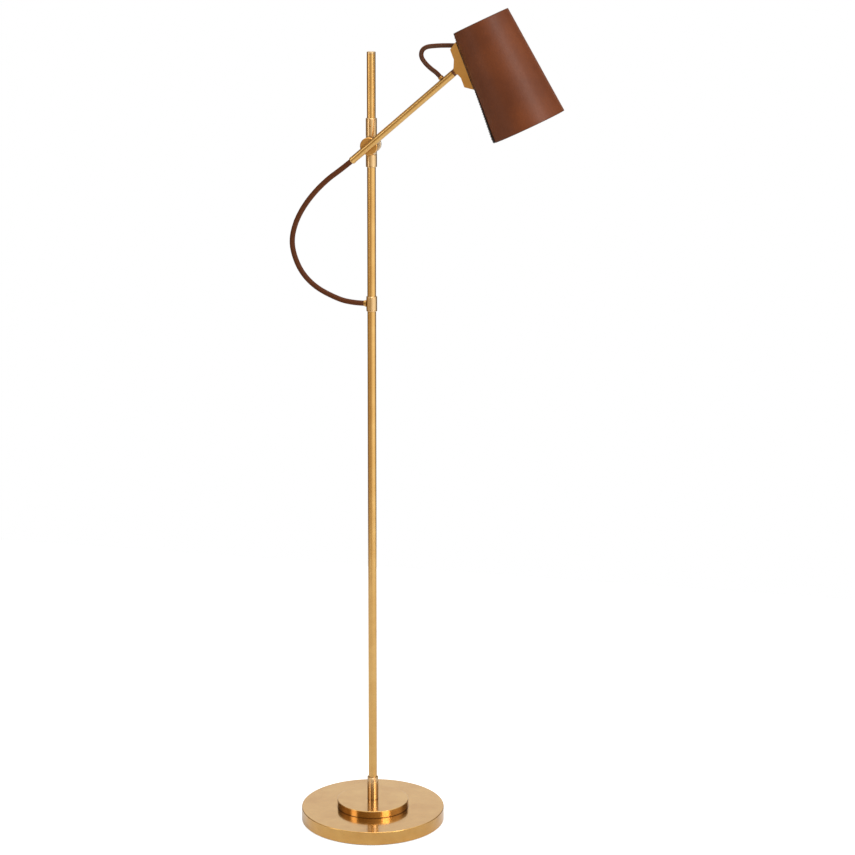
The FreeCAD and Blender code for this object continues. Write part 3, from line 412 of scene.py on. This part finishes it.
# The routes of the two free cords, from the collar on the pole to the arm's tail and from the
# arm's upper side into the shade's block.
LOOP_ROUTE = [
    (-0.0135, 0.0, 0.939), (-0.041, 0.0, 0.939), (-0.0725, -0.001, 0.950),
    (-0.101, -0.0025, 0.9655), (-0.1225, -0.0045, 0.9885), (-0.1345, -0.007, 1.0165),
    (-0.1385, -0.0095, 1.044), (-0.131, -0.0125, 1.074), (-0.116, -0.0155, 1.1025),
    (-0.095, -0.0185, 1.1295), (-0.0705, -0.021, 1.1534), (-0.0475, -0.022, 1.1702),
    (-0.0272, -0.022, 1.1868),
]
TIP_ROUTE = [
    (0.1229, -0.022, 1.3305), (0.1174, -0.022, 1.3368), (0.1075, -0.0223, 1.3432),
    (0.097, -0.023, 1.353), (0.0908, -0.0238, 1.363), (0.092, -0.0244, 1.373),
    (0.0995, -0.0244, 1.3792), (0.111, -0.0236, 1.381), (0.131, -0.022, 1.3824),
    (0.1507, -0.022, 1.3824),
]
LOOP_CORD_DIAMETER = 0.009
TIP_CORD_DIAMETER = 0.0076
RING_SIDES = 28
STITCH_PITCH = 0.0014


def centreline(name, route):
    """Points along one smooth curve that has the route's points as its control points."""
    data = bpy.data.curves.new(name, "CURVE")
    data.dimensions = "3D"
    spline = data.splines.new("NURBS")
    spline.points.add(len(route) - 1)
    for point, place in zip(spline.points, route):
        point.co = (*place, 1.0)
    spline.order_u = 3
    spline.use_endpoint_u = True
    spline.resolution_u = 24
    curve = bpy.data.objects.new(name, data)
    bpy.context.collection.objects.link(curve)
    mesh = bpy.data.meshes.new_from_object(curve)
    points = [vertex.co.copy() for vertex in mesh.vertices]
    bpy.data.objects.remove(curve)
    bpy.data.meshes.remove(mesh)
    bpy.data.curves.remove(data)
    return points


def carried_frames(points, first_side):
    """For each point its direction and a side vector, carried along the line without twist."""
    frames = []
    side = Vector(first_side)
    for index, point in enumerate(points):
        ahead = points[min(index + 1, len(points) - 1)]
        behind = points[max(index - 1, 0)]
        along = (ahead - behind).normalized()
        side = (side - along * side.dot(along)).normalized()
        frames.append((point, along, side))
    return frames


def running_length(points):
    total, lengths = 0.0, [0.0]
    for first, second in zip(points, points[1:]):
        total += (second - first).length
        lengths.append(total)
    return lengths


def sleeve_radius(radius, angle):
    """The sleeve's section: round, with its two edges meeting in a shallow valley at the seam."""
    off = abs(atan2(sin(angle), cos(angle)))
    valley = 0.07 * radius * max(0.0, 1 - off / 0.28) ** 2
    lip = 0.035 * radius * max(0.0, 1 - abs(off - 0.34) / 0.22)
    return radius - valley + lip


def sleeve_mesh(vertices, faces, marks, frames, radius, seam_turn):
    """The leather sleeve round a stretch of a cord, closed at both ends."""
    start = len(vertices)
    for point, along, side in frames:
        up = along.cross(side)
        for step in range(RING_SIDES):
            angle = 2 * pi * step / RING_SIDES
            wide = sleeve_radius(radius, angle)
            turn = angle + seam_turn
            vertices.append(point + (side * cos(turn) + up * sin(turn)) * wide)
    for ring in range(len(frames) - 1):
        for step in range(RING_SIDES):
            low = start + ring * RING_SIDES
            following = (step + 1) % RING_SIDES
            faces.append((low + step, low + following, low + RING_SIDES + following,
                          low + RING_SIDES + step))
            marks.append(0)
    faces.append(tuple(start + step for step in reversed(range(RING_SIDES))))
    faces.append(tuple(start + (len(frames) - 1) * RING_SIDES + step for step in range(RING_SIDES)))
    marks.extend((0, 0))


def stitch_mesh(vertices, faces, marks, point, along, side, radius, seam_turn):
    """One slanted stitch across the seam: a thread that dips into the leather at both ends."""
    thick, reach, slant, sides = 0.00026, 0.46, 0.00045, 6
    up = along.cross(side)
    start = len(vertices)
    stations = ((-1.0, -0.9), (-0.62, 0.35), (0.0, 0.75), (0.62, 0.35), (1.0, -0.9))
    for share, lift in stations:
        turn = seam_turn + share * reach
        out = side * cos(turn) + up * sin(turn)
        middle = point + out * (radius + lift * thick) + along * (share * slant)
        size = thick * (0.75 if abs(share) == 1.0 else 1.0)
        for step in range(sides):
            angle = 2 * pi * step / sides
            vertices.append(middle + (out * cos(angle) + along * sin(angle)) * size)
    for ring in range(len(stations) - 1):
        for step in range(sides):
            low = start + ring * sides
            following = (step + 1) % sides
            faces.append((low + step, low + sides + step, low + sides + following, low + following))
            marks.append(1)
    faces.append(tuple(start + step for step in range(sides)))
    faces.append(tuple(start + (len(stations) - 1) * sides + step for step in reversed(range(sides))))
    marks.extend((1, 1))


def mesh_piece(name, vertices, faces, materials, marks):
    """A new mesh object whose faces take the material that their mark gives."""
    mesh = bpy.data.meshes.new(name)
    mesh.from_pydata([tuple(vertex) for vertex in vertices], [], faces)
    for material in materials:
        mesh.materials.append(material)
    for index, polygon in enumerate(mesh.polygons):
        polygon.use_smooth = True
        polygon.material_index = marks[index]
    mesh.update()
    piece = bpy.data.objects.new(name, mesh)
    bpy.context.collection.objects.link(piece)
    return piece


def make_cord(name, route, diameter, node, stretches, first_side, seam_turn, materials):
    """One free cord in stretches that meet end to end. A stretch is (share of the length where it ends,
    body, body, blend start, blend end); the bodies and blends are not used."""
    points = centreline(name + "_line", route)
    lengths = running_length(points)
    frames = carried_frames(points, first_side)
    begin = 0
    for order, (share, near, far, blend_start, blend_end) in enumerate(stretches, start=1):
        finish = max(index for index, run in enumerate(lengths) if run <= share * lengths[-1] + 1e-9)
        vertices, faces, marks = [], [], []
        sleeve_mesh(vertices, faces, marks, frames[begin:finish + 1], diameter / 2, seam_turn)
        due = lengths[begin] + STITCH_PITCH / 2
        for index in range(begin, finish):
            while lengths[index] <= due < lengths[index + 1]:
                portion = (due - lengths[index]) / (lengths[index + 1] - lengths[index])
                point = frames[index][0].lerp(frames[index + 1][0], portion)
                stitch_mesh(vertices, faces, marks, point, frames[index][1], frames[index][2],
                            diameter / 2, seam_turn)
                due += STITCH_PITCH
        piece = mesh_piece(f"{name}_{order}", vertices, faces, materials, marks)
        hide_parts(node)
        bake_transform(piece)
        begin = finish


cord_leather = leather("cord_leather", (0.150, 0.044, 0.0125), 0.46, 1500.0, 0.00010, 0.16)
cord_thread = plain("cord_thread", (0.150, 0.100, 0.070), 0.6, scale=2600.0, depth=0.00006)

make_cord(
    "loop_sleeve", LOOP_ROUTE, LOOP_CORD_DIAMETER, "loop_cord",
    [
        (0.40, "stand", "carrier", (-0.022, 0, 0.95), (-0.130, 0, 0.95)),
        (0.76, "carrier", "hub", (-0.15, -0.012, 1.015), (-0.097, -0.018, 1.121)),
        (1.0, "hub", "arm", (-0.084, -0.022, 1.139), (-0.034, -0.022, 1.181)),
    ],
    first_side=(0, 1, 0), seam_turn=radians(50),
    materials=[cord_leather, cord_thread],
)
make_cord(
    "tip_sleeve", TIP_ROUTE, TIP_CORD_DIAMETER, "tip_cord",
    [
        (0.50, "arm", "knuckle", (0.117, -0.022, 1.337), (0.093, -0.0236, 1.361)),
        (1.0, "knuckle", "head", (0.093, -0.024, 1.374), (0.143, -0.022, 1.3835)),
    ],
    first_side=(0, -1, 0), seam_turn=radians(0),
    materials=[cord_leather, cord_thread],
)


# ---------------------------------------------------------------- shade cover

def shell_of(node, axis, across):
    """A tapered node's outside: centre, radius and height along an axis at its low and high end."""
    vertices = [vertex.co for vertex in frame["nodes"][node].data.vertices]
    heights = [vertex.dot(axis) for vertex in vertices]
    ends = []
    for end in (min(heights), max(heights)):
        ring = [vertex for vertex, height in zip(vertices, heights) if abs(height - end) < 0.0012]
        low = min(vertex.dot(across) for vertex in ring)
        high = max(vertex.dot(across) for vertex in ring)
        depth = [vertex.y for vertex in ring]
        middle = across * ((low + high) / 2) + axis * end + Y * ((min(depth) + max(depth)) / 2)
        ends.append((middle, (high - low) / 2))
    return ends


COVER_THICKNESS = 0.0016
COVER_STATIONS = 220
COVER_ROWS = 56
BACK_ROWS = 8
LAP_EDGE = radians(24.0)
LAP_START = radians(8.0)
LAP_SKIVED = 0.0015
LAP_RISE = 0.0006
BINDING_RUN = 0.094
BINDING_RISE = 0.0026
CORNER_ROUND = 0.007
EDGE_ROUND = 0.00055
EDGE_STEPS = 5
END_STATIONS = 11
END_STATION_STEP = 0.0008
LAP_CLEARANCE = 0.00005
UNDER_LAP_RUN = radians(4.0)
BINDING_WIDTH = radians(9.0)
BINDING_SLOPE = radians(8.0)
SKIN_WAVE = 0.00010
FINE_SKIN_WAVE = 0.00003
END_BULGE = 0.0004
END_DEPTHS = (0.0, 0.4, 0.72, 1.0)


def smoothed(value):
    """A smooth step from 0 to 1."""
    value = min(1.0, max(0.0, value))
    return value * value * (3 - 2 * value)


def end_bulge(depth, angle):
    """How far the lapped end's edge is rounded outwards along the lap."""
    along = shade_across * sin(angle) - Y * cos(angle)
    return along * (END_BULGE * sin(pi * depth))


def make_cover(materials):
    """The shade's leather: one sheet wrapped round the cone. Its rear end is skived and lapped over the
    front end beside the block; below the block the lap's edge grows into a thick binding, whose black
    end face is a waxed edge that also stands in as painted shade for the gap under the lap."""
    (low, low_radius), (high, high_radius) = shell_of("shade_leather", shade_axis, shade_across)
    length = (high - low).length
    up = (high - low).normalized()
    first = LAP_START
    last = 2 * pi + LAP_EDGE
    stations = [first + (last - first) * index / (COVER_STATIONS - 1) for index in range(COVER_STATIONS)]
    stations += [last - step * END_STATION_STEP / high_radius
                 for step in range(1, END_STATIONS + 1)]
    stations.sort()

    def skin_point(angle, run, depth):
        """A point on the sheet: angle round from the block, run up from the mouth, depth in."""
        share = run / length
        radius = low_radius + (high_radius - low_radius) * share
        over = smoothed((angle - 2 * pi - LAP_START) / (LAP_EDGE - LAP_START))
        under = 1 - smoothed((angle - LAP_EDGE) / UNDER_LAP_RUN)
        binding = BINDING_RISE * max(0.0, 1 - run / BINDING_RUN)
        near_edge = smoothed((angle - last + BINDING_WIDTH) / BINDING_SLOPE)
        rise = over * LAP_RISE + near_edge * binding * (1 - depth / COVER_THICKNESS) ** 2
        inward = depth
        if over > 0:
            inward = depth * (1 - over * (1 - LAP_SKIVED / COVER_THICKNESS))
        elif under > 0:
            kept_share = 1 - under * LAP_SKIVED / COVER_THICKNESS
            inward = under * (LAP_SKIVED + LAP_CLEARANCE - LAP_RISE) + depth * kept_share
        spot = Vector((cos(angle) * 2.2, sin(angle) * 2.2, share * 5))
        wave = SKIN_WAVE * noise.noise(spot) + FINE_SKIN_WAVE * noise.noise(spot * 6)
        out = shade_across * -cos(angle) - Y * sin(angle)
        return low + up * run + out * (radius + rise + wave - inward)

    vertices, faces, marks, loops = [], [], [], []
    for angle in stations:
        from_edge = (last - angle) * low_radius
        inset = 0.0
        if from_edge < CORNER_ROUND:
            inset = CORNER_ROUND - sqrt(CORNER_ROUND ** 2 - (CORNER_ROUND - from_edge) ** 2)
        bottom, top = inset, length - inset * 0.4
        span = top - bottom - 2 * EDGE_ROUND
        loop = []
        for row in range(COVER_ROWS + 1):
            loop.append((bottom + EDGE_ROUND + span * row / COVER_ROWS, 0.0, 0))
        for step in range(1, EDGE_STEPS + 1):
            turn = pi * step / (EDGE_STEPS + 1)
            loop.append((top - EDGE_ROUND + EDGE_ROUND * sin(turn),
                         COVER_THICKNESS / 2 * (1 - cos(turn)), 1))
        for row in range(BACK_ROWS + 1):
            loop.append((top - EDGE_ROUND - span * row / BACK_ROWS, COVER_THICKNESS, 2))
        for step in range(1, EDGE_STEPS + 1):
            turn = pi * step / (EDGE_STEPS + 1)
            loop.append((bottom + EDGE_ROUND - EDGE_ROUND * sin(turn),
                         COVER_THICKNESS / 2 * (1 + cos(turn)), 1))
        loops.append([len(vertices) + place for place in range(len(loop))])
        vertices.extend(skin_point(angle, run, depth) for run, depth, kind in loop)
        kinds = [kind for run, depth, kind in loop]
    size = len(kinds)
    for one, other in zip(loops, loops[1:]):
        for place in range(size):
            after = (place + 1) % size
            faces.append((one[place], one[after], other[after], other[place]))
            marks.append(1 if 1 in (kinds[place], kinds[after]) else kinds[place])
    faces.append(tuple(loops[0]))
    marks.append(1)
    # the lapped end: a raw tan edge beside the block; below it a black waxed face over a light line, the
    # black partly painted shade where a shaded gap under the lap would be
    rows = []
    for row in range(COVER_ROWS + 1):
        run = bottom + EDGE_ROUND + span * row / COVER_ROWS
        rows.append([len(vertices) + place for place in range(len(END_DEPTHS))])
        vertices.extend(
            skin_point(last, run, COVER_THICKNESS * depth) + end_bulge(depth, last)
            for depth in END_DEPTHS
        )
    for lower, upper in zip(rows, rows[1:]):
        run = (vertices[lower[0]] - low).dot(up)
        for place in range(3):
            faces.append((lower[place], lower[place + 1], upper[place + 1], upper[place]))
            marks.append(3 if run > BINDING_RUN or place == 2 else 1)
    top_edge = loops[-1][COVER_ROWS + 1:COVER_ROWS + 1 + EDGE_STEPS]
    bottom_edge = loops[-1][-EDGE_STEPS:]
    faces.append(tuple(rows[0]) + tuple(bottom_edge))
    faces.append(tuple(rows[-1]) + tuple(reversed(top_edge)))
    marks.extend((1, 1))
    cover = mesh_piece("shade_cover", vertices, faces, materials, marks)
    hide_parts("shade_leather")
    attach(cover, "head")
    return skin_point, length, last


def make_lap_stitches(skin_point, length, last, material):
    """A row of saddle stitches just inside the lap's edge."""
    vertices, faces, marks = [], [], []
    inset, pitch, thick, sides, margin = 0.0042, 0.0042, 0.00034, 6, 0.006
    stations = ((-0.40, 0.0004), (-0.30, -0.0002), (0.0, -0.0003), (0.30, -0.0002), (0.40, 0.0004))
    sewn = length - 2 * margin
    count = int(sewn / pitch)
    for index in range(count):
        middle_run = margin + (index + 0.5) * sewn / count
        start = len(vertices)
        for share, depth in stations:
            run = middle_run + share * pitch
            radius_here = (skin_point(last, run, 0) - skin_point(last - pi, run, 0)).length / 2
            angle = last - inset / radius_here
            point = skin_point(angle, run, depth)
            out = (skin_point(angle, run, -0.001) - skin_point(angle, run, 0)).normalized()
            around = out.cross(shade_axis).normalized()
            for step in range(sides):
                turn = 2 * pi * step / sides
                vertices.append(point + (out * cos(turn) + around * sin(turn)) * thick)
        for ring in range(len(stations) - 1):
            for step in range(sides):
                low = start + ring * sides
                after = (step + 1) % sides
                faces.append((low + step, low + after, low + sides + after, low + sides + step))
                marks.append(0)
        faces.append(tuple(start + step for step in reversed(range(sides))))
        faces.append(tuple(start + (len(stations) - 1) * sides + step for step in range(sides)))
        marks.extend((0, 0))
    stitches = mesh_piece("shade_lap_stitches", vertices, faces, [material], marks)
    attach(stitches, "head")


shade_leather = leather("shade_leather_skin", (0.205, 0.054, 0.0150), 0.41, 820.0, 0.00014, 0.34)
# black wax on the cover's cut edges; on the thick binding below the block it is also painted shade
edge_wax = plain("leather_edge_wax", (0.016, 0.010, 0.008), 0.38, scale=900.0, depth=0.00008)
suede_back = plain("leather_back", (0.20, 0.105, 0.055), 0.92, scale=1800.0, depth=0.00018)
shade_thread = plain("shade_thread", (0.060, 0.026, 0.013), 0.55, scale=2600.0, depth=0.00006)
raw_edge = plain("leather_raw_edge", (0.235, 0.088, 0.030), 0.7, scale=1500.0, depth=0.0001)
skin_point, cover_length, cover_last = make_cover([shade_leather, edge_wax, suede_back, raw_edge])
make_lap_stitches(skin_point, cover_length, cover_last, shade_thread)


# ---------------------------------------------------------------- materials of the CAD pieces

pole_brass = brass("pole_brass", straight_lay(Z), mottle=0.12)
arm_brass = brass("arm_brass", straight_lay(arm_axis), mottle=0.12)
base_turned = brass("base_brass", round_lay((0, 0, 0), Z, 7.0, 1900.0),
                    colour=(0.76, 0.44, 0.115), roughness=0.17, coat=0.9)
# painted highlight: the collars' brass is paler than the pole's, standing in for the bright highlights
# on their rims
collar_painted_highlight_brass = brass("collar_brass", round_lay((0, 0, 0), Z, 3.0, 3200.0),
                      colour=(0.86, 0.60, 0.29), roughness=0.20)
# painted highlight: the hub's brass is made pale and creamy, standing in for the bright reflections on
# its rims
hub_painted_highlight_brass = brass("hub_brass", round_lay(hub_point, Y, 3.0, 3600.0),
                   colour=(0.86, 0.74, 0.54), roughness=0.40, coat=0.5, join_shade=0.5)
disc_brass = brass("disc_brass", straight_lay((Y.cross(arm_axis) * 0.4 + arm_axis).normalized()),
                   colour=(0.84, 0.47, 0.13), roughness=0.35, coat=0.4, mottle=0.12)
block_brass = brass("block_brass", straight_lay(shade_axis, 20.0, 1900.0),
                    colour=(0.84, 0.46, 0.125), roughness=0.34, coat=0.45, mottle=0.14)
fitting_brass = brass("fitting_brass", round_lay(tilt_point, arm_axis, 3.0, 3600.0),
                      colour=(0.72, 0.40, 0.105), roughness=0.28)
gland_brass = brass("gland_brass", round_lay((0, 0, 0.939), X, 3.0, 3600.0), roughness=0.26)
bronze = plain("dark_bronze", (0.095, 0.045, 0.022), 0.36, metallic=0.85, Coat_Weight=0.3)
# dark brown bronze for the swivel bush at the arm's end; its darkness is partly painted shade at that
# neck
bronze_and_neck_shade = plain("bronze_and_neck_shade", (0.19, 0.062, 0.018), 0.38, metallic=0.6, Coat_Weight=0.3)
iron = plain("cast_iron", (0.030, 0.030, 0.032), 0.62, metallic=0.2, scale=700.0, depth=0.0003)
steel = plain("zinc_steel", (0.56, 0.56, 0.58), 0.34, metallic=1.0, scale=900.0)
rubber = plain("black_rubber", (0.014, 0.014, 0.014), 0.7, scale=1200.0, depth=0.00008)
enamel = plain("white_enamel", (0.86, 0.85, 0.80), 0.34, variation=0.02, scale=240.0,
               depth=0.00003, Coat_Weight=0.4, Coat_Roughness=0.15)
nylon = plain("nylon", (0.66, 0.64, 0.57), 0.5, variation=0.05)
fibre = plain("vulcanised_fibre", (0.13, 0.055, 0.032), 0.6, scale=900.0, depth=0.0001)
porcelain = plain("porcelain", (0.85, 0.84, 0.80), 0.16, variation=0.02, Coat_Weight=0.6)
phenolic = plain("phenolic", (0.020, 0.016, 0.014), 0.24, scale=700.0, Coat_Weight=0.3)
sheath = plain("lead_sheath", (0.030, 0.020, 0.015), 0.55, scale=1200.0, depth=0.00008)

BY_SLOT = {
    "brushed_brass": pole_brass, "brass_turned": collar_painted_highlight_brass, "brass_block": block_brass,
    "dark_bronze": bronze, "cast_iron": iron, "felt": felt(), "black_rubber": rubber,
    "shade_hide": shade_leather, "cord_hide": cord_leather, "white_enamel": enamel,
    "zinc_steel": steel, "nylon": nylon, "fibre": fibre, "porcelain": porcelain,
    "phenolic": phenolic, "frosted_glass": frosted_glass(), "lead_sheath": sheath,
}
BY_NODE = {
    "arm_tube": arm_brass, "arm_tail_ring": arm_brass, "base_shell": base_turned,
    "step_disc": base_turned, "hub_body": hub_painted_highlight_brass, "hub_disc": disc_brass,
    "arm_gland": fitting_brass, "swivel_bush": bronze_and_neck_shade, "knuckle": fitting_brass,
    "pole_gland": gland_brass, "pole_gland_nut": gland_brass, "collar_screws": disc_brass,
    "cord_collar_screw": disc_brass, "spindle_screw": bronze, "hub_brake_screw": bronze,
}


def finish_nodes():
    """Gives every CAD piece its material: by its own name first, then by its slot."""
    for name, piece in frame["nodes"].items():
        for index, material_slot in enumerate(piece.material_slots):
            slot = material_slot.material.name.split(".")[0]
            material = BY_NODE.get(name) or BY_SLOT.get(slot)
            if material is None:
                raise KeyError(f"{name} has no material for slot {slot}")
            material_slot.material = material


finish_nodes()
